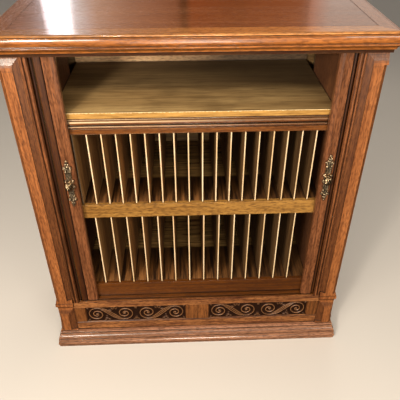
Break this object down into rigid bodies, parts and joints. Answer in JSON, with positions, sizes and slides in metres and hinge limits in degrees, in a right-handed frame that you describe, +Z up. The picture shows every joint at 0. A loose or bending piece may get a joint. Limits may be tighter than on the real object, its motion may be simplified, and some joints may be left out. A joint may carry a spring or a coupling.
{
  "type": "tambour door cabinet",
  "caption": "Wide wooden cabinet with two tambour doors that slide round the front corners, an open top compartment and two rows of upright slots.",
  "frame": {"origin": "middle of the footprint, on the floor", "axes": "+X to the right seen from the front, +Y towards the back (the front faces -Y), +Z up"},
  "size_m": [1.094, 0.5, 1.216],
  "materials": {
    "case_wood": "varnished, satin",
    "top_wood": "polished",
    "slat_wood": "varnished, satin",
    "carved_wood": "carved, waxed",
    "shelf_wood": "bare, dull",
    "golden_wood": "oiled, satin",
    "inner_wood": "bare, dull",
    "divider_wood": "bare, dull",
    "back_wood": "bare, dull",
    "cast_brass": "aged, cast",
    "canvas": "woven, dull"
  },
  "bodies": {
    "case": {"back_batten": "shelf_wood", "back_blocks": "case_wood", "back_panel": "back_wood", "back_posts": "case_wood", "base_front_moulding": "case_wood", "base_side_mouldings": "case_wood", "bottom_rail": "inner_wood", "bottom_track": "case_wood", "floor_board": "inner_wood", "frieze": "case_wood", "front_left_block": "case_wood", "front_left_post": "case_wood", "front_right_block": "case_wood", "front_right_post": "case_wood", "left_bead_stile": "case_wood", "left_carved_panel": "carved_wood", "left_partition": "inner_wood", "left_side_frame": "case_wood", "left_side_panels": "case_wood", "lower_dividers": "divider_wood", "middle_board": "inner_wood", "middle_rail": "golden_wood", "plinth_back": "back_wood", "plinth_bottom_rail": "case_wood", "plinth_sides": "case_wood", "plinth_stiles": "case_wood", "plinth_top_rail": "case_wood", "right_bead_stile": "case_wood", "right_carved_panel": "carved_wood", "right_partition": "inner_wood", "right_side_frame": "case_wood", "right_side_panels": "case_wood", "shelf": "shelf_wood", "shelf_front_rail": "case_wood", "top_back_border": "top_wood", "top_back_rail": "back_wood", "top_front_border": "top_wood", "top_front_moulding": "case_wood", "top_left_border": "top_wood", "top_left_moulding": "case_wood", "top_panel": "top_wood", "top_right_border": "top_wood", "top_right_moulding": "case_wood", "top_track": "inner_wood", "turn_canvas": "canvas", "turn_slats": "slat_wood", "under_top": "back_wood", "upper_dividers": "divider_wood"},
    "left_door": {"left_lead_stile": "case_wood", "left_front_slat": "slat_wood", "left_front_canvas": "canvas", "left_handle_plate": "cast_brass", "left_handle_knob": "cast_brass"},
    "right_door": {"right_lead_stile": "case_wood", "right_handle_plate": "cast_brass", "right_handle_knob": "cast_brass"},
    "left_curtain": {"left_curtain_slats": "slat_wood", "left_curtain_canvas": "canvas"},
    "right_curtain": {"right_curtain_slats": "slat_wood", "right_curtain_canvas": "canvas"}
  },
  "joints": [
    {"name": "left_door_slide", "type": "slide", "parent": "case", "child": "left_door", "axis": [1, 0, 0], "range_m": [0, 0.3712]},
    {"name": "right_door_slide", "type": "slide", "parent": "case", "child": "right_door", "axis": [-1, 0, 0], "range_m": [0, 0.3944]},
    {"name": "left_curtain_turn", "type": "hinge", "parent": "case", "child": "left_curtain", "pos_m": [-0.23198, 0.00952, 0.688], "axis": [0, 0, 1], "range_deg": [0, 90], "deforming": ["left_curtain_slats", "left_curtain_canvas"]},
    {"name": "right_curtain_turn", "type": "hinge", "parent": "case", "child": "right_curtain", "pos_m": [0.22038, 0.02112, 0.688], "axis": [0, 0, -1], "range_deg": [0, 90], "deforming": ["right_curtain_slats", "right_curtain_canvas"]}
  ],
  "couplings": [
    {"joint": "left_curtain_turn", "follows": "left_door_slide", "rad_per_m": 4.2316},
    {"joint": "right_curtain_turn", "follows": "right_door_slide", "rad_per_m": 3.9827}
  ]
}
